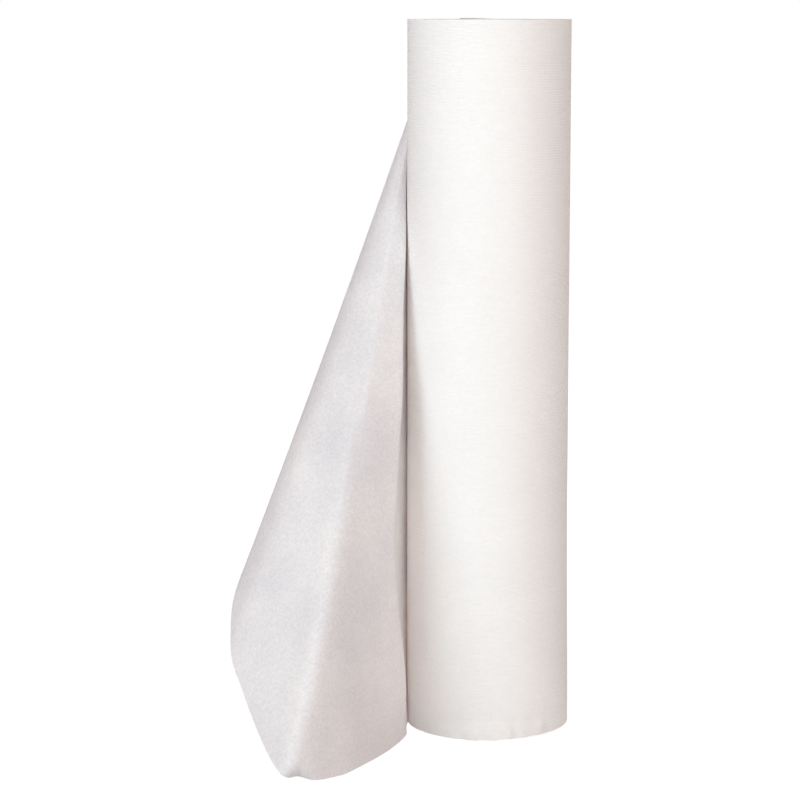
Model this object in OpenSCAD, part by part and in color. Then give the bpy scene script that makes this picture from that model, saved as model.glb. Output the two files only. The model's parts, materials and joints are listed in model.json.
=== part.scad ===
// Examination table paper roll, standing on end, with the loose end of the paper hanging off its side.
// Millimetres. Z is the winding axis, z = 0 is the end that stands on the table, -Y is the front.

/* [Roll] */
// Width of the paper, which is the height of the roll as it stands
roll_width = 500; // [400:10:600]
// Diameter over the outermost turn
roll_d = 114; // [100:2:140]

/* [Core] */
// Bore of the cardboard tube the paper is wound on
core_bore_d = 38; // [30:1:45]
// Wall of the cardboard tube
core_wall = 1.6; // [1:0.2:2.4]
// How far the tube stands out of the upper end of the paper
core_proud = 0.8; // [0.4:0.2:2]

/* [Turns on the end faces] */
// Radial distance between the open seams that show in the end faces
seam_pitch = 4.4; // [3.6:0.2:7]
// Width of an open seam
seam_width = 0.7; // [0.5:0.1:1]
// Depth of an open seam
seam_depth = 0.6; // [0.4:0.1:1.5]

/* [Loose end] */
// Thickness of the loose paper, heavier than the real tissue so that it is a sound solid
web_t = 0.8; // [0.6:0.1:1.2]
// How far the paper stands off the table at its hem
hem_lift = 0.5; // [0.4:0.1:1.5]

/* [Hidden] */
$fn = 96;

core_d = core_bore_d + 2 * core_wall;
roll_r = roll_d / 2;

// Where the web leaves the roll, as an angle about the axis
leave_deg = 152;
// Point of that line, below the upper end face, that all the folds run to
apex_down = 55;
apex_z = roll_width - apex_down;
// Where the upper edge of the web leaves the roll, just below the end face
top_deg = 122;
top_down = 1.5;
top_z = roll_width - top_down;
// Foot of the line where the web leaves the roll
leave_foot = roll_r * [cos(leave_deg), sin(leave_deg)];

// Run of the hem along the table, round the front corner and up the cut edge to the corner that has
// flopped over behind: distance along the paper's edge, then x and y from the foot, then z.
web_edge = [
  [0, 0, 0, 0],
  [45, -7, -45, 0],
  [73, -8, -73, 0],
  [117, -22, -115, 0],
  [164, -43, -156, 0],
  [184, -53, -172, 1],
  [208, -69, -192, 4],
  [224, -80, -202, 9],
  [231, -86, -197, 9],
  [240, -92, -191, 11],
  [250, -97, -184, 16],
  [275, -107, -168, 31],
  [309, -120, -145, 53],
  [333, -128, -130, 69],
  [348, -130, -121, 81],
  [378, -130, -98, 103],
  [413, -121, -72, 125],
  [453, -104, -42, 146],
  [497, -78, -13, 166],
  [604, -8, 53, 214],
  [736, 71, 138, 273]
];
edge_n = len(web_edge);
edge_end = web_edge[edge_n - 1][0];

function edge_pt(i) = [leave_foot[0] + web_edge[i][1], leave_foot[1] + web_edge[i][2], web_edge[i][3]];
function edge_seg(w, i = 0) = i >= edge_n - 2 || w < web_edge[i + 1][0] ? i : edge_seg(w, i + 1);
function edge_slope(i) =
  let (a = max(i - 1, 0), b = min(i + 1, edge_n - 1))
  (edge_pt(b) - edge_pt(a)) / (web_edge[b][0] - web_edge[a][0]);
function edge_in(w) =
  let (
    i = edge_seg(w),
    h = web_edge[i + 1][0] - web_edge[i][0],
    t = (w - web_edge[i][0]) / h,
    t2 = t * t,
    t3 = t2 * t
  )
  (2 * t3 - 3 * t2 + 1) * edge_pt(i) + (t3 - 2 * t2 + t) * h * edge_slope(i)
    + (3 * t2 - 2 * t3) * edge_pt(i + 1) + (t3 - t2) * h * edge_slope(i + 1);
function edge_at(w) = edge_in(max(0, min(edge_end, w)));

// Straight fold lines run from the roll to the free edge. They start up the line where the web leaves the
// roll, and above the apex they start along a slanting line up to the web's upper edge.
apex_w = 224;
first_z = 20;
// Reach of the rounding of the folds near the roll, along the paper's edge
soft = 65;
near_t = 0.09;
// The web lies clear of the roll by a hair, and by more where the paper has doubled back over a layer
web_clear = 0.25;
double_room = 1.2;
double_from = 180;
double_run = 120;
function stand_off(w) = web_clear + web_t / 2 + double_room * max(0, min(1, (w - double_from) / double_run));
function fold_start(w) =
  let (
    k = min(1, w / apex_w),
    m = max(0, (w - apex_w) / (edge_end - apex_w)),
    a = leave_deg + (top_deg - leave_deg) * m
  )
  [roll_r * cos(a), roll_r * sin(a), first_z + (apex_z - first_z) * k + (top_z - apex_z) * m];
function fold_end(w, t) =
  let (d = min(soft * (1 - t), 0.6 * min(w, edge_end - w)))
  0.25 * edge_at(w - d) + 0.5 * edge_at(w) + 0.25 * edge_at(w + d);
function lie(p, clear) =
  let (f = max(1, (roll_r + clear) / norm([p[0], p[1]])))
  [p[0] * f, p[1] * f, max(p[2], hem_lift)];
function web_pt(w, t) = lie(fold_start(w) + t * (fold_end(w, t) - fold_start(w)), stand_off(w));

// The web's grid: a row for each fold line and columns along it, the first one buried in the roll.
row_split = 4;
rows = row_split * (edge_n - 1);
cols = 10;
function row_w(i) =
  let (s = min(floor(i / row_split), edge_n - 2))
  web_edge[s][0] + (web_edge[s + 1][0] - web_edge[s][0]) * (i / row_split - s);
function col_t(j) = near_t + (1 - near_t) * j / cols;
function root_pt(w) =
  let (
    p = web_pt(w, near_t),
    f = (roll_r - 2) / norm([p[0], p[1]])
  )
  [p[0] * f, p[1] * f, p[2]];
mid = [
  for (i = [0:rows])
    [
      root_pt(row_w(i)),
      for (j = [0:cols]) web_pt(row_w(i), col_t(j))
    ]
];
wide = cols + 2;
function grid(i, j) = mid[max(0, min(rows, i))][max(1, min(cols + 1, j))];
function unit(p) = p / norm(p);
function out(i, j) = unit(cross(grid(i, j + 1) - grid(i, j - 1), grid(i + 1, j) - grid(i - 1, j)));
function off(i, j, d) =
  let (p = mid[i][j] + d * (j == 0 ? root_dir(i) : out(i, j)))
  [p[0], p[1], max(p[2], hem_lift / 2)];
function root_dir(i) =
  let (
    along = grid(i + 1, 1) - grid(i - 1, 1),
    p = mid[i][1]
  )
  unit(cross([p[0], p[1], 0], along));
web_points = concat(
  [for (i = [0:rows]) for (j = [0:cols + 1]) off(i, j, web_t / 2)],
  [for (i = [0:rows]) for (j = [0:cols + 1]) off(i, j, -web_t / 2)]
);
back_at = (rows + 1) * wide;
function id(i, j) = i * wide + j;
web_rim = concat(
  [for (j = [0:cols]) id(0, j)],
  [for (i = [0:rows - 1]) id(i, cols + 1)],
  [for (j = [cols + 1:-1:1]) id(rows, j)],
  [for (i = [rows:-1:1]) id(i, 0)]
);
rim_n = len(web_rim);
web_faces = concat(
  [for (i = [0:rows - 1]) for (j = [0:cols]) [id(i, j), id(i + 1, j), id(i + 1, j + 1)]],
  [for (i = [0:rows - 1]) for (j = [0:cols]) [id(i, j), id(i + 1, j + 1), id(i, j + 1)]],
  [for (i = [0:rows - 1]) for (j = [0:cols]) [id(i, j), id(i + 1, j + 1), id(i + 1, j)] + back_at * [1, 1, 1]],
  [for (i = [0:rows - 1]) for (j = [0:cols]) [id(i, j), id(i, j + 1), id(i + 1, j + 1)] + back_at * [1, 1, 1]],
  [for (k = [0:rim_n - 1]) [web_rim[k], web_rim[(k + 1) % rim_n], web_rim[(k + 1) % rim_n] + back_at]],
  [for (k = [0:rim_n - 1]) [web_rim[k], web_rim[(k + 1) % rim_n] + back_at, web_rim[k] + back_at]]
);

// The open seam that shows between the turns winds out from the core to just inside the last turn.
seam_margin = 2.5;
seam_in = core_d / 2 + seam_margin;
seam_out = roll_r - seam_margin;
seam_turns = floor((seam_out - seam_in) / seam_pitch);
seam_steps = seam_turns * 32;
function seam_r(k) = seam_in + seam_pitch * k / 32;
function seam_pts(d) = [for (k = [0:seam_steps]) (seam_r(k) + d) * [cos(k * 360 / 32), sin(k * 360 / 32)]];
function back_to_front(p) = [for (k = [len(p) - 1:-1:0]) p[k]];

module seam() {
  polygon(concat(seam_pts(seam_width / 2), back_to_front(seam_pts(-seam_width / 2))));
}

module loose_end() {
  polyhedron(points = web_points, faces = web_faces, convexity = 6);
}

// The wound web and its loose end are one length of paper.
module paper_roll() {
  color([0.96, 0.95, 0.94])
    union() {
      difference() {
        cylinder(h = roll_width, r = roll_r);
        translate([0, 0, -1])
          cylinder(h = roll_width + 2, d = core_d);
        translate([0, 0, roll_width - seam_depth])
          linear_extrude(height = seam_depth + 1)
            seam();
        translate([0, 0, -1])
          linear_extrude(height = seam_depth + 1)
            seam();
      }
      loose_end();
    }
}

// Spiral-wound tube of pale greyboard
module core_tube() {
  color([0.80, 0.79, 0.77])
    difference() {
      cylinder(h = roll_width + core_proud, d = core_d);
      translate([0, 0, -1])
        cylinder(h = roll_width + core_proud + 2, d = core_bore_d);
    }
}

paper_roll();
core_tube();
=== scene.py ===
import json
import math

import bpy
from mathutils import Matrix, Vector, noise


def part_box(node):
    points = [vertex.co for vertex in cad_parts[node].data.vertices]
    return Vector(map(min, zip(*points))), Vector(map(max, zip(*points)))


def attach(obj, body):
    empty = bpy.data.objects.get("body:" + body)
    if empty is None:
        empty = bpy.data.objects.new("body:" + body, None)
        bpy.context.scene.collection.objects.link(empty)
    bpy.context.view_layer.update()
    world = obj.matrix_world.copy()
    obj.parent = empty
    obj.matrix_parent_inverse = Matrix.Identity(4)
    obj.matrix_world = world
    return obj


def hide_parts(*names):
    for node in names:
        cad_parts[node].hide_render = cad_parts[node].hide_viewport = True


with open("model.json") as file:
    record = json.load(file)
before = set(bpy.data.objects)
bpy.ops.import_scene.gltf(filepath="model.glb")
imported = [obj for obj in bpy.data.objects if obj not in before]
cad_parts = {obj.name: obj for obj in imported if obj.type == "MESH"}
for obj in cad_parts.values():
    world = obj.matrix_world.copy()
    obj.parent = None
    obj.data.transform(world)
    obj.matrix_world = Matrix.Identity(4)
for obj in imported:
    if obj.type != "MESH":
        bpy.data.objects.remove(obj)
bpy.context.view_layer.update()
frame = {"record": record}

bl_info = {
    "name": "Examination table paper roll",
    "version": (1, 0, 0),
    "blender": (4, 5, 0),
    "location": "View3D > Sidebar > Paper roll",
    "description": "Models a standing roll of crepe tissue with its loose end folded out beside it",
    "category": "Object",
}

MM = 0.001
ROLL_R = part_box("paper_roll")[1].x
ROLL_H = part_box("paper_roll")[1].z
CORE_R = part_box("core_tube")[1].x
CORE_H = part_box("core_tube")[1].z
MOUNTS = {mount["name"]: mount for mount in frame["record"]["mounts"]}
BORE_R = MOUNTS["core_bore"]["dims"]["r_mm"] * MM

# Winding, as the end faces show it
TURN_SIDES = 160
SEAM_PITCH = 4.4 * MM
SEAM_MARGIN = 2.5 * MM
SEAM_HALF = 0.35 * MM
SEAM_DEPTH = 0.6 * MM
FACE_WANDER = 0.12 * MM
SIDE_ROWS = (4, 50)

# Largest gap that is closed where pieces of a mesh are joined, and a length that counts as none
WELD = 0.002 * MM
HAIR = 0.001 * MM

# Outermost turn: how deep into the roll it is loose, its slack towards the foot and its soft waves
SKIN_DEPTH = 6 * MM
SLACK = 1.6 * MM
SLACK_HEIGHT = 170 * MM
WAVES = 0.2 * MM
WAVE_HEIGHT = 140 * MM

# Faint crease across the front of the outermost turn, with small dents at its right end. Angles are in
# radians from the front, and the crease falls by so much for each radian to the right.
FRONT_CREASE = 0.5 * MM
FRONT_CREASE_REACH = 3 * MM
FRONT_CREASE_Z = 231 * MM
FRONT_CREASE_FALL = 6 * MM
FRONT_CREASE_ENDS = (-0.85, 0.8)
FRONT_CREASE_FADE = 0.2
FRONT_DENT = 0.5 * MM
FRONT_DENT_SIZE = 6 * MM
FRONT_DENT_Z = 224 * MM
FRONT_DENT_REACH = 9 * MM
FRONT_DENT_AT = 0.62
FRONT_DENT_SPREAD = 0.16

# Lower hem of the outermost turn: the line it is pressed in along, its crumple, how far it stands off the
# table, and its pleats, each by its angle from the front and the step that the paper makes there
HEM_LINE = 13 * MM
HEM_PRESS = 1.2 * MM
HEM_PRESS_REACH = 3.2 * MM
HEM_FLARE = 0.3 * MM
HEM_CRUMPLE = 2.0 * MM
HEM_CRUMPLE_HEIGHT = 8 * MM
HEM_RISE = 1.2 * MM
HEM_RISE_HEIGHT = 12 * MM
HEM_PLEATS = ((-0.34, 1.0 * MM), (0.25, -1.2 * MM), (0.68, 0.4 * MM))
HEM_PLEAT_WIDTH = 0.05

# Loose end: where the web leaves the roll, where its folds start and how they are rounded and bowed.
# Places along the paper's free edge, and reaches along it, are in millimetres.
LEAVE_DEG = 152
TOP_DEG = 122
APEX_DOWN = 55 * MM
TOP_DOWN = 1.5 * MM
FIRST_Z = 20 * MM
APEX_W = 236
HEM_LENGTH = 240
HEM_LIFT = 0.5 * MM
SOFT = 70
SOFT_FALL = 0.6
SOFT_SHARE = 0.6
CREASE_SOFT = 3
WEB_CLEAR = 0.25 * MM
STAND_RUN = 0.1
DOUBLE_ROOM = 1.2 * MM
DOUBLE_FROM = 180
DOUBLE_RUN = 120
BULGE = 8 * MM
BULGE_WAY = Vector((0.5, -1, 0))
BULGE_END = 420
RIDGE_BOW = 6 * MM
RIDGE_BOW_REACH = 90
STRIP_BOW = Vector((-3 * MM, 10 * MM))
STRIP_LENGTH = 60 * MM
HEM_BOW = Vector((5.6 * MM, -26.8 * MM))
HEM_BOW_Z = 100 * MM
LIP = Vector((0, 9 * MM, -2 * MM))
LIP_FROM = 0.986
LIP_W = 224
LIP_REACH = 13
TUCK_DEG = 14
TUCK_T = 0.06
TUCK_DEPTH = 0.4 * MM
ROUND_STEPS = 6
BEND_STEPS = 8
SHEET_ROWS = 240
SHEET_COLUMNS = 70
COLUMN_CROWDING = 1.25

# Distance along the paper's edge, then x and y from the foot of the line where the web leaves, then z
WEB_EDGE = (
    (0, 0, 0, 0),
    (45, -7, -45, 0),
    (73, -8, -73, 0),
    (117, -22, -115, 0),
    (164, -43, -156, 0),
    (184, -53, -172, 1),
    (208, -69, -192, 4),
    (224, -80, -201, 8.9),
    (231, -85.5, -204, 8.8),
    (237, -90, -202.5, 11),
    (250, -97, -190, 17),
    (275, -107, -170, 31.3),
    (309, -118.5, -145, 53),
    (333, -126, -130, 69),
    (348, -127.5, -121, 81),
    (378, -127, -98, 103),
    (413, -118.5, -72, 125),
    (453, -102, -42, 146),
    (497, -78, -13, 166),
    (604, -8, 53, 214),
    (736, 71, 138, 273),
)
EDGE_END = WEB_EDGE[-1][0]

# Small dents and bumps by the ridge: place along the edge and along the fold line, reach of each, height
DENTS = (
    (236, 0.47, 6, 0.035, 0.7 * MM),
    (256, 0.51, 5, 0.025, -0.8 * MM),
    (246, 0.58, 4, 0.04, 0.6 * MM),
    (224, 0.53, 8, 0.03, -0.6 * MM),
    (268, 0.80, 9, 0.03, -0.5 * MM),
)

# The crease that the web is bent along beside the roll: height, then x and y
CREASE = (
    (0, -57.6, -46),
    (43, -58.2, -51),
    (86, -62.4, -60),
    (116, -65.3, -63),
    (147, -66.4, -62),
    (191, -63.8, -55),
    (242, -60.6, -45),
    (295, -60.3, -30),
    (341, -58.2, -14),
    (395, -57, 8),
    (445, -50.3, 26.8),
)

# Cardboard tube: its clearance in the paper, its broken edges, and how far its upper end is cut aslant
CORE_CLEAR = 0.05 * MM
CORE_BEVEL = 0.3 * MM
CORE_SLANT = 0.75 * MM
CORE_END = 2 * MM
CORE_ROWS = (24,)

# Floor: its width in metres, its drop below the object, its colour and its glow to the camera
FLOOR_SIZE = 5
FLOOR_DROP = 0.2 * MM
FLOOR_COLOUR = "C8C8C8"
FLOOR_GLOW = 1.75
FLOOR_GLOW_SHARE = 0.5

# Camera: its place in metres, how far it looks down and turns in radians, and its lens and sensor in mm
CAMERA_PLACE = (-0.0653, -1.8244, 0.5074)
CAMERA_DOWN = 0.149427
CAMERA_TURN = -0.00176
CAMERA_LENS = 117.07
CAMERA_SENSOR = 36

# White paper lights itself deep into the gap beside the roll, over many bounces.
LIGHT_BOUNCES = 24
DIFFUSE_BOUNCES = 16

# Studio light: name, place in metres, width of the soft box, watts and colour
LAMPS = (
    ("far left", (-2.58, -0.27, 0.7), 1.4, 7.1, "FFE4E0"),
    ("left", (-1.93, -1.74, 0.7), 1.4, 26.2, "ECF8FF"),
    ("front", (-0.54, -2.54, 0.7), 1.4, 7.0, "FFFAF0"),
    ("by the camera", (-0.05, -2.1, 0.72), 0.4, 5.3, "EEFBFF"),
    ("right", (1.06, -2.38, 0.7), 1.4, 19.6, "F2FBFF"),
    ("far right", (2.25, -1.3, 0.7), 1.4, 8.9, "FFD3C2"),
    ("top back", (0.5, 1.9, 2.2), 1.4, 38, "FFFFFF"),
)
AMBIENT_COLOUR = "FFEDEA"
AMBIENT = 0.203


class PaperRollSettings(bpy.types.PropertyGroup):
    """Sizes and colours of the roll that a user would change"""

    paper_colour: bpy.props.StringProperty(
        name="Roll colour",
        description="sRGB hex colour of the wound paper, many layers deep",
        default="FBF8F5",
    )
    sheet_colour: bpy.props.StringProperty(
        name="Sheet colour",
        description="sRGB hex colour of the single loose sheet, which lets some light through",
        default="F9F8FE",
    )
    through_colour: bpy.props.StringProperty(
        name="Colour of light through the sheet",
        description="sRGB hex colour of light that has passed through the loose sheet's fibres",
        default="FFEFE0",
    )
    edge_colour: bpy.props.StringProperty(
        name="Cut edge colour",
        description="sRGB hex colour of the cut edges in the end faces",
        default="F7F4F0",
    )
    board_colour: bpy.props.StringProperty(
        name="Core colour",
        description="sRGB hex colour of the cardboard core",
        default="E4E1DC",
    )
    sheet_thickness: bpy.props.FloatProperty(
        name="Sheet thickness",
        description="Thickness of the loose two-ply sheet",
        default=0.25 * MM,
        min=0.1 * MM,
        max=1.0 * MM,
        precision=5,
        unit="LENGTH",
    )
    rib_pitch: bpy.props.FloatProperty(
        name="Crepe rib pitch",
        description="Distance between the crepe ribs that run round the roll",
        default=1.75 * MM,
        min=0.5 * MM,
        max=5.0 * MM,
        precision=5,
        unit="LENGTH",
    )


def linear(code):
    """Linear RGBA of an sRGB hex colour."""
    channels = [int(code[i : i + 2], 16) / 255 for i in (0, 2, 4)]
    return [c / 12.92 if c <= 0.04045 else ((c + 0.055) / 1.055) ** 2.4 for c in channels] + [1.0]


def add_node(tree, kind, settings=None, inputs=None, links=None):
    """Adds one node.

    settings are its attributes, inputs its socket values and links the outputs that feed it.
    """
    node = tree.nodes.new(kind)
    for key, value in (settings or {}).items():
        setattr(node, key, value)
    for key, value in (inputs or {}).items():
        node.inputs[key].default_value = value
    for key, output in (links or {}).items():
        tree.links.new(output, node.inputs[key])
    return node


def new_material(name):
    """An empty node material."""
    material = bpy.data.materials.new(name)
    material.use_nodes = True
    material.node_tree.nodes.clear()
    return material


# Blender's banded wave repeats every 2 pi / 20 of its scaled coordinate.
WAVE_TURN = 2 * math.pi / 20


def crepe_tissue(
    name,
    colour,
    mottle,
    rib_height,
    rib_pitch,
    coordinate,
    rib_axis,
    lets_through=0.0,
    through_colour="FFFFFF",
):
    """Creped tissue: matt white, with a soft fibre mottle and fine ribs that catch a low light."""
    material = new_material(name)
    tree = material.node_tree
    place = add_node(tree, "ShaderNodeTexCoord")
    # Fibre clumps about 2 mm across, and thin and thick places a few centimetres across
    clumps = add_node(
        tree,
        "ShaderNodeTexNoise",
        inputs={"Scale": 1 / (2 * MM), "Detail": 3.0, "Roughness": 0.65},
        links={"Vector": place.outputs["Object"]},
    )
    clouds = add_node(
        tree,
        "ShaderNodeTexNoise",
        inputs={"Scale": 1 / (45 * MM), "Detail": 2.0},
        links={"Vector": place.outputs["Object"]},
    )
    ribs = add_node(
        tree,
        "ShaderNodeTexWave",
        {"wave_type": "BANDS", "bands_direction": rib_axis, "wave_profile": "SIN"},
        {"Scale": WAVE_TURN / rib_pitch, "Distortion": 1.2, "Detail": 2.0, "Detail Scale": 0.6},
        {"Vector": place.outputs[coordinate]},
    )
    tone = add_node(
        tree,
        "ShaderNodeMix",
        {"data_type": "FLOAT"},
        {0: 0.35},
        {2: clumps.outputs["Fac"], 3: clouds.outputs["Fac"]},
    )
    dark = [c * (1 - mottle) for c in linear(colour)[:3]] + [1.0]
    pale = [min(1.0, c * (1 + mottle / 2)) for c in linear(colour)[:3]] + [1.0]
    shade = add_node(
        tree,
        "ShaderNodeMapRange",
        inputs={"From Min": 0.3, "From Max": 0.7},
        links={"Value": tone.outputs[0]},
    )
    tint = add_node(
        tree,
        "ShaderNodeMix",
        {"data_type": "RGBA"},
        {6: dark, 7: pale},
        {0: shade.outputs[0]},
    )
    relief = add_node(
        tree,
        "ShaderNodeMath",
        {"operation": "MULTIPLY_ADD"},
        {1: rib_height},
        {0: ribs.outputs["Fac"], 2: clumps.outputs["Fac"]},
    )
    bump = add_node(
        tree,
        "ShaderNodeBump",
        inputs={"Strength": 0.5, "Distance": 0.25 * MM},
        links={"Height": relief.outputs[0]},
    )
    shader = add_node(
        tree,
        "ShaderNodeBsdfPrincipled",
        inputs={"Roughness": 0.92, "Specular IOR Level": 0.2},
        links={"Base Color": tint.outputs[2], "Normal": bump.outputs[0]},
    )
    surface = shader
    if lets_through > 0:
        # A single sheet glows a little, and light comes out of its fibres warmer than it went in.
        through = add_node(tree, "ShaderNodeBsdfTranslucent", inputs={"Color": linear(through_colour)})
        surface = add_node(
            tree,
            "ShaderNodeMixShader",
            inputs={0: lets_through},
            links={1: shader.outputs[0], 2: through.outputs[0]},
        )
    add_node(tree, "ShaderNodeOutputMaterial", links={"Surface": surface.outputs[0]})
    return material


def cut_tissue(name, colour):
    """Cut edges of the turns: fine rings, lighter on the turns, with painted shade greying the gaps
    between them.
    """
    material = new_material(name)
    tree = material.node_tree
    place = add_node(tree, "ShaderNodeTexCoord")
    # The real turns are about 0.1 mm apart: drawn 0.9 mm apart so that they show.
    turns = add_node(
        tree,
        "ShaderNodeTexWave",
        {"wave_type": "RINGS", "rings_direction": "Z", "wave_profile": "SIN"},
        {"Scale": WAVE_TURN / (0.9 * MM), "Distortion": 2.5, "Detail": 3.0, "Detail Scale": 0.4},
        {"Vector": place.outputs["Object"]},
    )
    fray = add_node(
        tree,
        "ShaderNodeTexNoise",
        inputs={"Scale": 1 / (1.2 * MM), "Detail": 4.0, "Roughness": 0.65},
        links={"Vector": place.outputs["Object"]},
    )
    tone = add_node(
        tree,
        "ShaderNodeMath",
        {"operation": "MULTIPLY_ADD"},
        {1: 0.6},
        {0: turns.outputs["Fac"], 2: fray.outputs["Fac"]},
    )
    shade = add_node(
        tree,
        "ShaderNodeMapRange",
        inputs={"From Min": 0.3, "From Max": 1.2},
        links={"Value": tone.outputs[0]},
    )
    # Painted shade: the gaps between the turns are drawn in a greyer copy of the edge colour.
    painted_gap_shade = [c * 0.84 for c in linear(colour)[:3]] + [1.0]
    tint = add_node(
        tree,
        "ShaderNodeMix",
        {"data_type": "RGBA"},
        {6: painted_gap_shade, 7: linear(colour)},
        {0: shade.outputs[0]},
    )
    bump = add_node(
        tree,
        "ShaderNodeBump",
        inputs={"Strength": 0.6, "Distance": 0.4 * MM},
        links={"Height": tone.outputs[0]},
    )
    shader = add_node(
        tree,
        "ShaderNodeBsdfPrincipled",
        inputs={"Roughness": 0.95, "Specular IOR Level": 0.15},
        links={"Base Color": tint.outputs[2], "Normal": bump.outputs[0]},
    )
    add_node(tree, "ShaderNodeOutputMaterial", links={"Surface": shader.outputs[0]})
    return material


def spiral_board(name, colour):
    """Spiral-wound greyboard: pale, dull and flecked with fibres, with the ply's seam winding up it."""
    material = new_material(name)
    tree = material.node_tree
    place = add_node(tree, "ShaderNodeTexCoord")
    fleck = add_node(
        tree,
        "ShaderNodeTexNoise",
        inputs={"Scale": 1 / (1.5 * MM), "Detail": 5.0, "Roughness": 0.7},
        links={"Vector": place.outputs["Object"]},
    )
    axes = add_node(tree, "ShaderNodeSeparateXYZ", links={0: place.outputs["Object"]})
    angle = add_node(
        tree,
        "ShaderNodeMath",
        {"operation": "ARCTAN2"},
        links={0: axes.outputs["Y"], 1: axes.outputs["X"]},
    )
    # The ply is about 90 mm wide along the tube.
    turn = add_node(
        tree,
        "ShaderNodeMath",
        {"operation": "MULTIPLY"},
        {1: 1 / (2 * math.pi)},
        {0: angle.outputs[0]},
    )
    climb = add_node(
        tree,
        "ShaderNodeMath",
        {"operation": "MULTIPLY_ADD"},
        {1: 1 / (90 * MM)},
        {0: axes.outputs["Z"], 2: turn.outputs[0]},
    )
    along = add_node(tree, "ShaderNodeMath", {"operation": "FRACT"}, links={0: climb.outputs[0]})
    seam = add_node(
        tree,
        "ShaderNodeMapRange",
        {"interpolation_type": "SMOOTHSTEP"},
        {"From Min": 0.0, "From Max": 0.02, "To Min": 0.0, "To Max": 1.0},
        {"Value": along.outputs[0]},
    )
    tone = add_node(
        tree,
        "ShaderNodeMath",
        {"operation": "MULTIPLY"},
        links={0: fleck.outputs["Fac"], 1: seam.outputs[0]},
    )
    dark = [c * 0.8 for c in linear(colour)[:3]] + [1.0]
    pale = [min(1.0, c * 1.15) for c in linear(colour)[:3]] + [1.0]
    tint = add_node(
        tree,
        "ShaderNodeMix",
        {"data_type": "RGBA"},
        {6: dark, 7: pale},
        {0: tone.outputs[0]},
    )
    bump = add_node(
        tree,
        "ShaderNodeBump",
        inputs={"Strength": 0.5, "Distance": 0.3 * MM},
        links={"Height": tone.outputs[0]},
    )
    shader = add_node(
        tree,
        "ShaderNodeBsdfPrincipled",
        inputs={"Roughness": 0.88, "Specular IOR Level": 0.25},
        links={"Base Color": tint.outputs[2], "Normal": bump.outputs[0]},
    )
    add_node(tree, "ShaderNodeOutputMaterial", links={"Surface": shader.outputs[0]})
    return material


def studio_white(name):
    """White sweep: near white to the camera, with the object's shadow left on it."""
    material = new_material(name)
    tree = material.node_tree
    path = add_node(tree, "ShaderNodeLightPath")
    seen = add_node(
        tree,
        "ShaderNodeMath",
        {"operation": "MAXIMUM"},
        links={0: path.outputs["Is Camera Ray"], 1: path.outputs["Is Glossy Ray"]},
    )
    share = add_node(
        tree,
        "ShaderNodeMath",
        {"operation": "MULTIPLY"},
        {1: FLOOR_GLOW_SHARE},
        {0: seen.outputs[0]},
    )
    plain = add_node(tree, "ShaderNodeBsdfDiffuse", inputs={"Color": linear(FLOOR_COLOUR)})
    glow = add_node(
        tree,
        "ShaderNodeEmission",
        inputs={"Color": linear("FFFFFF"), "Strength": FLOOR_GLOW},
    )
    both = add_node(
        tree,
        "ShaderNodeMixShader",
        links={0: share.outputs[0], 1: plain.outputs[0], 2: glow.outputs[0]},
    )
    add_node(tree, "ShaderNodeOutputMaterial", links={"Surface": both.outputs[0]})
    return material


def select_only(obj):
    """Leaves obj alone selected and active."""
    bpy.ops.object.select_all(action="DESELECT")
    obj.select_set(True)
    bpy.context.view_layer.objects.active = obj


def face_outwards(obj):
    """Turns all of a mesh's faces outwards."""
    select_only(obj)
    bpy.ops.object.mode_set(mode="EDIT")
    bpy.ops.mesh.select_all(action="SELECT")
    bpy.ops.mesh.normals_make_consistent(inside=False)
    bpy.ops.object.mode_set(mode="OBJECT")


def apply_modifier(obj, kind, **values):
    """Adds a modifier to the active object with its settings, and applies it."""
    bpy.ops.object.modifier_add(type=kind)
    modifier = obj.modifiers[-1]
    for key, value in values.items():
        setattr(modifier, key, value)
    bpy.ops.object.modifier_apply(modifier=modifier.name)


def dress(obj, *materials):
    """Gives a piece its materials in place of any it has."""
    obj.data.materials.clear()
    for material in materials:
        obj.data.materials.append(material)


def seat(obj, node):
    """Puts a finished piece on the part's one body, in place of its solid."""
    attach(obj, "root")
    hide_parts(node)


def smooth_step(value):
    """0 below 0, 1 above 1 and a soft rise between."""
    value = max(0.0, min(1.0, value))
    return value * value * (3 - 2 * value)


def bell(distance, reach):
    """1 at no distance, and near 0 at twice the reach."""
    return math.exp(-((distance / reach) ** 2))


def seam_relief(turn, across):
    """How far an end face lies below its plane, at a turn of the winding and a place across the pitch."""
    from_seam = abs(across - 0.5) * SEAM_PITCH
    last = math.floor((ROLL_R - CORE_R - 2 * SEAM_MARGIN) / SEAM_PITCH)
    seam = 1 - smooth_step((from_seam - SEAM_HALF * 0.6) / (SEAM_HALF * 0.8))
    if not 0 <= turn <= last:
        seam = 0.0
    wander = noise.noise(Vector((turn * 5.1, across * 4.0, 3.0)))
    return SEAM_DEPTH * seam + FACE_WANDER * (1 + wander)


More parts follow.
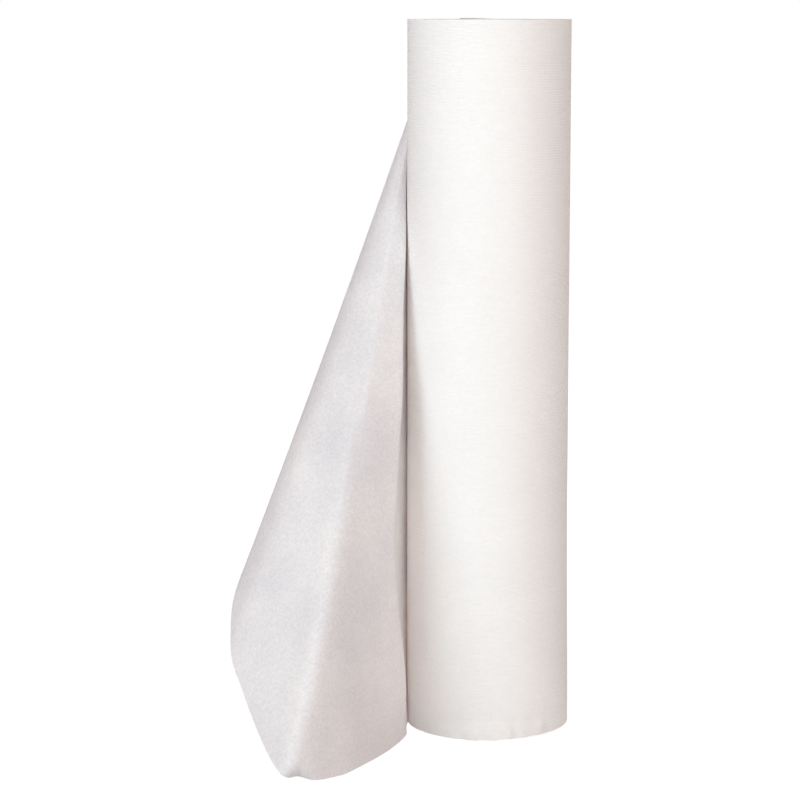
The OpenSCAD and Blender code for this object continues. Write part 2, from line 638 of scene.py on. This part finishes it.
def wound_end(height, way):
    """One end face: a spiral strip that winds out from the core, with an open seam along it."""
    seam_in = CORE_R + SEAM_MARGIN
    turns = math.ceil((ROLL_R - seam_in) / SEAM_PITCH) + 2
    # Places across the strip, close together at the seam's lips
    places = [0.0, 0.1, 0.2, 0.3, 0.38, 0.42, 0.45, 0.5, 0.55, 0.58, 0.62, 0.7, 0.8, 0.9, 1.0]
    bpy.ops.object.select_all(action="DESELECT")
    bpy.ops.mesh.primitive_grid_add(
        x_subdivisions=turns * TURN_SIDES, y_subdivisions=len(places) - 1, size=2
    )
    face = bpy.context.object
    for vertex in face.data.vertices:
        turn = (vertex.co.x + 1) / 2 * turns - 1
        across = places[round((vertex.co.y + 1) / 2 * (len(places) - 1))]
        radius = seam_in + SEAM_PITCH * (turn + across - 0.5)
        inside = max(CORE_R, min(ROLL_R, radius))
        fade = smooth_step(min(inside - CORE_R, ROLL_R - inside) / SEAM_MARGIN)
        step = round(turn * TURN_SIDES)
        angle = step * 2 * math.pi / TURN_SIDES
        drop = seam_relief(turn, across) * fade
        vertex.co = (inside * math.cos(angle), inside * math.sin(angle), height - way * drop)
    return face


def open_tube(radius, height, rows):
    """A tube without caps, cut into rows along its height, and those into rows again."""
    bpy.ops.object.select_all(action="DESELECT")
    bpy.ops.mesh.primitive_cylinder_add(
        vertices=TURN_SIDES,
        radius=radius,
        depth=height,
        end_fill_type="NOTHING",
        location=(0, 0, height / 2),
    )
    bpy.ops.object.transform_apply(location=True, rotation=True, scale=True)
    tube = bpy.context.object
    for split in rows:
        bpy.ops.object.mode_set(mode="EDIT")
        bpy.ops.mesh.select_mode(type="EDGE")
        bpy.ops.mesh.select_all(action="DESELECT")
        bpy.ops.object.mode_set(mode="OBJECT")
        for edge in tube.data.edges:
            low, high = (tube.data.vertices[i].co for i in edge.vertices)
            edge.select = (high - low).xy.length < HAIR
        bpy.ops.object.mode_set(mode="EDIT")
        bpy.ops.mesh.subdivide(number_cuts=split - 1)
        bpy.ops.object.mode_set(mode="OBJECT")
    return tube


def hem_offset(front, z):
    """How far the outermost turn's lower hem is pressed in, flared, pleated and crumpled."""
    line = HEM_LINE * (1 + 0.3 * noise.noise(Vector((front * 2.5, 0.0, 5.0))))
    low = smooth_step(1.4 - z / line)
    facing = math.cos(front) ** 2
    patches = 0.6 + noise.noise(Vector((front * 2.0, 9.0, 0.0)))
    pressed = -HEM_PRESS * patches * bell(z - line, HEM_PRESS_REACH)
    flare = HEM_FLARE * smooth_step(1 - z / line)
    pleats = sum(step * smooth_step((front - at) / HEM_PLEAT_WIDTH) for at, step in HEM_PLEATS)
    crumple = HEM_CRUMPLE * noise.noise(Vector((front * 8.0, 0.0, z / HEM_CRUMPLE_HEIGHT)))
    return facing * (pressed + low * (flare + pleats + crumple))


def skin_offset(angle, z):
    """How far the outermost turn lies off a true cylinder: slack, waves, a crease, dents and its hem."""
    slack = SLACK * smooth_step(1 - z / SLACK_HEIGHT) * max(0.0, math.cos(angle))
    around = Vector((math.cos(angle) * 1.3, math.sin(angle) * 1.3, z / WAVE_HEIGHT))
    waves = WAVES * noise.noise(around)
    front = angle + math.pi / 2
    left, right = FRONT_CREASE_ENDS
    across = smooth_step((front - left) / FRONT_CREASE_FADE)
    across *= smooth_step((right - front) / FRONT_CREASE_FADE)
    crease_z = FRONT_CREASE_Z - FRONT_CREASE_FALL * front
    crease = -FRONT_CREASE * across * bell(z - crease_z, FRONT_CREASE_REACH)
    dents = FRONT_DENT * noise.noise(Vector((angle * 14.0, 7.0, z / FRONT_DENT_SIZE)))
    dents *= bell(z - FRONT_DENT_Z, FRONT_DENT_REACH) * bell(front - FRONT_DENT_AT, FRONT_DENT_SPREAD)
    return slack + waves + crease + dents + hem_offset(front, z)


def hem_rise(angle):
    """How far the outer turns' lower hem stands off the table, most at the right."""
    return HEM_RISE * smooth_step((math.cos(angle) + 0.6) / 1.5)


def wrap_skin(mesh):
    """Moves the outermost turn's vertices off the true cylinder."""
    for vertex in mesh.vertices:
        radius = math.hypot(vertex.co.x, vertex.co.y)
        near = smooth_step((radius - ROLL_R + SKIN_DEPTH) / SKIN_DEPTH)
        if near == 0:
            continue
        angle = math.atan2(vertex.co.y, vertex.co.x)
        grown = (radius + near * skin_offset(angle, vertex.co.z)) / radius
        lift = near * hem_rise(angle) * smooth_step(1 - vertex.co.z / HEM_RISE_HEIGHT)
        vertex.co = (vertex.co.x * grown, vertex.co.y * grown, vertex.co.z + lift)


def curve_point(places, at):
    """A point of a smooth curve through places, each a distance and then coordinates in mm."""
    at = max(places[0][0], min(places[-1][0], at))
    i = max(k for k in range(len(places) - 1) if places[k][0] <= at)
    span = places[i + 1][0] - places[i][0]
    t = (at - places[i][0]) / span

    def place(k):
        return Vector(places[k][1:])

    def slope(k):
        before, after = max(k - 1, 0), min(k + 1, len(places) - 1)
        return (place(after) - place(before)) / (places[after][0] - places[before][0])

    rise = 3 * t**2 - 2 * t**3
    point = place(i) * (1 - rise) + place(i + 1) * rise
    point += span * (t * (1 - t) ** 2 * slope(i) - t**2 * (1 - t) * slope(i + 1))
    return point * MM


def on_roll(angle, z, out=0.0):
    """A point on the roll's side, or a little way out from it."""
    return Vector(((ROLL_R + out) * math.cos(angle), (ROLL_R + out) * math.sin(angle), z))


def edge_point(w):
    """A point of the web's free edge."""
    return curve_point(WEB_EDGE, w) + on_roll(math.radians(LEAVE_DEG), 0.0)


def fold_start(w):
    """Where the fold line to a place on the free edge starts on the roll: its angle and height."""
    low = min(1, w / APEX_W)
    high = max(0, (w - APEX_W) / (EDGE_END - APEX_W))
    apex_z = ROLL_H - APEX_DOWN
    z = FIRST_Z + (apex_z - FIRST_Z) * low + (ROLL_H - TOP_DOWN - apex_z) * high
    return math.radians(LEAVE_DEG + (TOP_DEG - LEAVE_DEG) * high), z


def ridge_bow(t):
    """How far the ridge bows to the right, t along it, most three quarters of the way down."""
    # t**3 * (1 - t) is 27 / 256 at its highest.
    return RIDGE_BOW * 256 / 27 * t**3 * (1 - t)


def section_path(z):
    """The web's run at a height: round the roll, straight to the crease beside it and on to the ridge."""
    crease = curve_point(CREASE, z / MM)
    leave = math.radians(LEAVE_DEG)
    touch = math.atan2(crease.y, crease.x) % (2 * math.pi)
    touch -= math.acos(min(1.0, (ROLL_R + WEB_CLEAR) / crease.length))
    round_roll = [leave + (touch - leave) * k / ROUND_STEPS for k in range(ROUND_STEPS + 1)]
    path = [on_roll(angle, z, WEB_CLEAR).xy for angle in round_roll]
    strip = (crease - path[-1]).length
    path.append((path[-1] + crease) / 2 + STRIP_BOW * min(1.0, strip / STRIP_LENGTH) ** 2)
    apex = on_roll(leave, ROLL_H - APEX_DOWN)
    tip = edge_point(APEX_W)
    down = max(0.0, min(1.0, (apex.z - z) / (apex.z - tip.z)))
    ridge = apex.lerp(tip, down).xy
    ridge.x += ridge_bow(down)
    bend = (crease + ridge) / 2 + HEM_BOW * max(0.0, 1 - z / HEM_BOW_Z)
    for k in range(BEND_STEPS + 1):
        u = k / BEND_STEPS
        path.append((1 - u) ** 2 * crease + 2 * u * (1 - u) * bend + u**2 * ridge)
    return path


def path_length(path):
    """Length of a path of points."""
    return sum((b - a).length for a, b in zip(path, path[1:]))


def fold_height(w, t):
    """Height of a point on a fold line, or on the ridge for the fold lines beyond it."""
    w = min(w, APEX_W)
    z = fold_start(w)[1]
    return max(HEM_LIFT, z + t * (edge_point(w).z - z))


def first_fold(height):
    """Place along the edge of the fold line that starts at a height."""
    run = ROLL_H - APEX_DOWN - FIRST_Z
    return APEX_W * max(0.0, min(1.0, (height - FIRST_Z) / run))


def crease_fold(height):
    """Place along the edge of the fold line that crosses the crease at a height."""
    path = section_path(height)
    # The points round the roll, the middle of the strip and the crease itself
    to_crease = path[: ROUND_STEPS + 3]
    begun = first_fold(height)
    return begun + (APEX_W - begun) * path_length(to_crease) / max(MM, path_length(path))


def along_path(path, share):
    """The point a share of the way along a path."""
    left = share * path_length(path)
    for start, end in zip(path, path[1:]):
        step = (end - start).length
        if left <= step and step > 0:
            return start.lerp(end, left / step)
        left -= step
    return path[-1]


def raw_point(w, t):
    """A point of the sheet before its folds are softened, t along the fold line to its edge at w."""
    angle, z = fold_start(w)
    end = edge_point(w)
    if w < APEX_W:
        height = fold_height(w, t)
        begun = min(w, first_fold(height))
        place = along_path(section_path(height), (w - begun) / (APEX_W - begun))
        hem = along_path(section_path(fold_height(w, 1)), w / APEX_W)
        place += (end.xy - hem) * t**4
        return Vector((place.x, place.y, height))
    point = on_roll(angle, z).lerp(end, t)
    point.x += ridge_bow(t) * smooth_step(1 - (w - APEX_W) / RIDGE_BOW_REACH)
    if w < BULGE_END:
        across = math.sin(math.pi * (w - APEX_W) / (BULGE_END - APEX_W))
        point += BULGE * across * 4 * t * (1 - t) * BULGE_WAY
    return point


def tucked_point(w, t):
    """A point of the sheet's root, which runs on round the roll and in under the last turn."""
    angle, z = fold_start(w)
    share = -t / TUCK_T
    out = WEB_CLEAR - (WEB_CLEAR + TUCK_DEPTH) * share
    return on_roll(angle - math.radians(TUCK_DEG) * share, z, out)


def soften(raw, i, j, w, t):
    """Rounds the folds across a sheet's raw rows, more towards the roll."""
    pitch = EDGE_END / SHEET_ROWS
    from_crease = abs(w - crease_fold(fold_height(w, t))) + CREASE_SOFT
    from_end = min(w, EDGE_END - w)
    reach = min(SOFT * (1 - t) ** SOFT_FALL, from_crease, SOFT_SHARE * from_end) / pitch
    total = raw[i][j].copy()
    weight = 1.0
    for k in range(1, math.ceil(reach)):
        share = 1 - k / reach
        total += share * (raw[i - k][j] + raw[i + k][j])
        weight += 2 * share
    point = total / weight
    for at_w, at_t, wide, long, height in DENTS:
        point.y -= height * bell(w - at_w, wide) * bell(t - at_t, long)
    turned = max(0.0, (t - LIP_FROM) / (1 - LIP_FROM))
    point += LIP * turned * bell(w - LIP_W, LIP_REACH)
    stand = WEB_CLEAR + DOUBLE_ROOM * max(0, min(1, (w - DOUBLE_FROM) / DOUBLE_RUN))
    grown = max(1, (ROLL_R + stand * smooth_step(t / STAND_RUN) + WEB_CLEAR) / point.xy.length)
    return Vector((point.x * grown, point.y * grown, max(point.z, HEM_LIFT)))


def flat_point(w, t):
    """The same place on the paper laid flat: along the web, then across it, in metres."""
    angle, z = fold_start(w)
    start = Vector((ROLL_R * (angle - math.radians(LEAVE_DEG)), z))
    if t < 0:
        return start + Vector((ROLL_R * math.radians(TUCK_DEG) * t / TUCK_T, 0))
    end = Vector((min(w, HEM_LENGTH), max(0, w - HEM_LENGTH))) * MM
    return start + t * (end - start)


class PAPERROLL_OT_wound_paper(bpy.types.Operator):
    """Models the wound paper with its spiral end faces and its loose outer turn"""

    bl_idname = "paperroll.wound_paper"
    bl_label = "Wound paper"

    def execute(self, context):
        settings = context.scene.paper_roll
        top = wound_end(ROLL_H, 1)
        foot = wound_end(0.0, -1)
        inner = open_tube(CORE_R, ROLL_H, ())
        side = open_tube(ROLL_R, ROLL_H, SIDE_ROWS)
        bpy.ops.object.select_all(action="DESELECT")
        for part in (top, foot, inner, side):
            part.select_set(True)
        context.view_layer.objects.active = side
        bpy.ops.object.join()
        roll = context.object
        roll.name = roll.data.name = "wound_paper"
        bpy.ops.object.mode_set(mode="EDIT")
        bpy.ops.mesh.select_all(action="SELECT")
        bpy.ops.mesh.remove_doubles(threshold=WELD)
        bpy.ops.mesh.dissolve_degenerate(threshold=HAIR)
        bpy.ops.object.mode_set(mode="OBJECT")
        face_outwards(roll)
        side_tissue = crepe_tissue(
            "crepe tissue, wound",
            settings.paper_colour,
            mottle=0.045,
            rib_height=0.8,
            rib_pitch=settings.rib_pitch,
            coordinate="Object",
            rib_axis="Z",
        )
        dress(roll, side_tissue, cut_tissue("crepe tissue, cut edges", settings.edge_colour))
        for face in roll.data.polygons:
            in_end = abs(face.normal.z) > 0.5
            in_bore = face.center.xy.length < ROLL_R - MM
            face.material_index = 1 if in_end or in_bore else 0
        wrap_skin(roll.data)
        bpy.ops.object.shade_smooth_by_angle(angle=math.radians(50))
        seat(roll, "paper_roll")
        return {"FINISHED"}


class PAPERROLL_OT_loose_end(bpy.types.Operator):
    """Models the loose end of the web, folded out to a corner and flopped over behind"""

    bl_idname = "paperroll.loose_end"
    bl_label = "Loose end"

    def execute(self, context):
        settings = context.scene.paper_roll
        bpy.ops.object.select_all(action="DESELECT")
        bpy.ops.mesh.primitive_grid_add(
            x_subdivisions=SHEET_ROWS, y_subdivisions=SHEET_COLUMNS, size=2
        )
        sheet = context.object
        sheet.name = sheet.data.name = "loose_end"
        lines = [EDGE_END * i / SHEET_ROWS for i in range(SHEET_ROWS + 1)]
        # The columns stand closer together towards the free edge, and the first ones are tucked in.
        shares = [1 - j / SHEET_COLUMNS for j in range(SHEET_COLUMNS + 1)]
        steps = [1 - (1 + TUCK_T) * share**COLUMN_CROWDING for share in shares]
        raw = [[raw_point(w, max(0.0, t)) for t in steps] for w in lines]
        flat = []
        for vertex in sheet.data.vertices:
            i = round((vertex.co.x + 1) / 2 * SHEET_ROWS)
            j = round((vertex.co.y + 1) / 2 * SHEET_COLUMNS)
            w, t = lines[i], steps[j]
            flat.append(flat_point(w, t))
            vertex.co = tucked_point(w, t) if t < 0 else soften(raw, i, j, w, t)
        paper_uv = sheet.data.uv_layers[0]
        for loop in sheet.data.loops:
            paper_uv.data[loop.index].uv = flat[loop.vertex_index]
        select_only(sheet)
        apply_modifier(sheet, "SOLIDIFY", thickness=settings.sheet_thickness, offset=0.0)
        face_outwards(sheet)
        bpy.ops.object.shade_smooth_by_angle(angle=math.radians(60))
        sheet_tissue = crepe_tissue(
            "crepe tissue, single sheet",
            settings.sheet_colour,
            mottle=0.17,
            rib_height=0.45,
            rib_pitch=settings.rib_pitch,
            coordinate="UV",
            rib_axis="Y",
            lets_through=0.18,
            through_colour=settings.through_colour,
        )
        dress(sheet, sheet_tissue)
        seat(sheet, "paper_roll")
        return {"FINISHED"}


class PAPERROLL_OT_core(bpy.types.Operator):
    """Models the spiral-wound cardboard tube that the paper is wound on"""

    bl_idname = "paperroll.core"
    bl_label = "Cardboard core"

    def execute(self, context):
        settings = context.scene.paper_roll
        radius = CORE_R - CORE_CLEAR
        core = open_tube(radius, CORE_H, CORE_ROWS)
        core.name = core.data.name = "cardboard_core"
        face_outwards(core)
        apply_modifier(core, "SOLIDIFY", thickness=radius - BORE_R, offset=-1.0)
        apply_modifier(
            core,
            "BEVEL",
            width=CORE_BEVEL,
            segments=2,
            limit_method="ANGLE",
            angle_limit=math.radians(60),
        )
        bpy.ops.object.shade_smooth_by_angle(angle=math.radians(40))
        for vertex in core.data.vertices:
            if vertex.co.z > ROLL_H - CORE_END:
                vertex.co.z -= CORE_SLANT * smooth_step(vertex.co.x / CORE_R + 0.6)
        dress(core, spiral_board("spiral-wound greyboard", settings.board_colour))
        seat(core, "core_tube")
        return {"FINISHED"}


class PAPERROLL_OT_stage(bpy.types.Operator):
    """Sets the white floor, the soft frontal light and the camera"""

    bl_idname = "paperroll.stage"
    bl_label = "Stage"

    def execute(self, context):
        scene = context.scene
        bpy.ops.object.select_all(action="DESELECT")
        bpy.ops.mesh.primitive_plane_add(size=FLOOR_SIZE, location=(0, 0, -FLOOR_DROP))
        floor = context.object
        floor.name = "floor"
        floor.data.materials.append(studio_white("white studio floor"))

        world = bpy.data.worlds.new("studio")
        scene.world = world
        world.use_nodes = True
        tree = world.node_tree
        tree.nodes.clear()
        path = add_node(tree, "ShaderNodeLightPath")
        seen = add_node(
            tree,
            "ShaderNodeMath",
            {"operation": "MAXIMUM"},
            links={0: path.outputs["Is Camera Ray"], 1: path.outputs["Is Glossy Ray"]},
        )
        clear = add_node(
            tree,
            "ShaderNodeMath",
            {"operation": "MAXIMUM"},
            links={0: seen.outputs[0], 1: path.outputs["Is Transmission Ray"]},
        )
        level = add_node(
            tree,
            "ShaderNodeMapRange",
            inputs={"To Min": AMBIENT, "To Max": 1.0},
            links={"Value": clear.outputs[0]},
        )
        tint = add_node(
            tree,
            "ShaderNodeMix",
            {"data_type": "RGBA"},
            {6: linear(AMBIENT_COLOUR), 7: linear("FFFFFF")},
            {0: clear.outputs[0]},
        )
        backdrop = add_node(
            tree,
            "ShaderNodeBackground",
            links={"Color": tint.outputs[2], "Strength": level.outputs[0]},
        )
        add_node(tree, "ShaderNodeOutputWorld", links={"Surface": backdrop.outputs[0]})

        for name, place, size, watts, colour in LAMPS:
            light = bpy.data.lights.new(name, "AREA")
            light.size = size
            light.energy = watts
            light.color = linear(colour)[:3]
            lamp = bpy.data.objects.new(name, light)
            lamp.location = place
            aim = Vector((0.0, 0.0, ROLL_H / 2)) - lamp.location
            lamp.rotation_euler = aim.to_track_quat("-Z", "Y").to_euler()
            scene.collection.objects.link(lamp)

        lens = bpy.data.cameras.new("camera")
        lens.sensor_width = CAMERA_SENSOR
        lens.lens = CAMERA_LENS
        camera = bpy.data.objects.new("camera", lens)
        camera.location = CAMERA_PLACE
        camera.rotation_euler = (math.pi / 2 - CAMERA_DOWN, 0.0, CAMERA_TURN)
        scene.collection.objects.link(camera)
        scene.camera = camera
        scene.view_settings.view_transform = "Standard"
        scene.cycles.max_bounces = LIGHT_BOUNCES
        scene.cycles.diffuse_bounces = DIFFUSE_BOUNCES
        return {"FINISHED"}


class PAPERROLL_PT_panel(bpy.types.Panel):
    """Lists the roll's pieces and settings"""

    bl_idname = "PAPERROLL_PT_panel"
    bl_label = "Paper roll"
    bl_space_type = "VIEW_3D"
    bl_region_type = "UI"
    bl_category = "Paper roll"

    def draw(self, context):
        settings = context.scene.paper_roll
        for name in settings.bl_rna.properties.keys():
            if name not in {"rna_type", "name"}:
                self.layout.prop(settings, name)
        for operator in OPERATORS:
            self.layout.operator(operator.bl_idname)


OPERATORS = (
    PAPERROLL_OT_wound_paper,
    PAPERROLL_OT_loose_end,
    PAPERROLL_OT_core,
    PAPERROLL_OT_stage,
)
CLASSES = (PaperRollSettings, *OPERATORS, PAPERROLL_PT_panel)


def register():
    for cls in CLASSES:
        bpy.utils.register_class(cls)
    bpy.types.Scene.paper_roll = bpy.props.PointerProperty(type=PaperRollSettings)


def unregister():
    del bpy.types.Scene.paper_roll
    for cls in reversed(CLASSES):
        bpy.utils.unregister_class(cls)


def main():
    register()
    bpy.ops.paperroll.wound_paper()
    bpy.ops.paperroll.loose_end()
    bpy.ops.paperroll.core()
    bpy.ops.paperroll.stage()


if __name__ == "__main__":
    main()
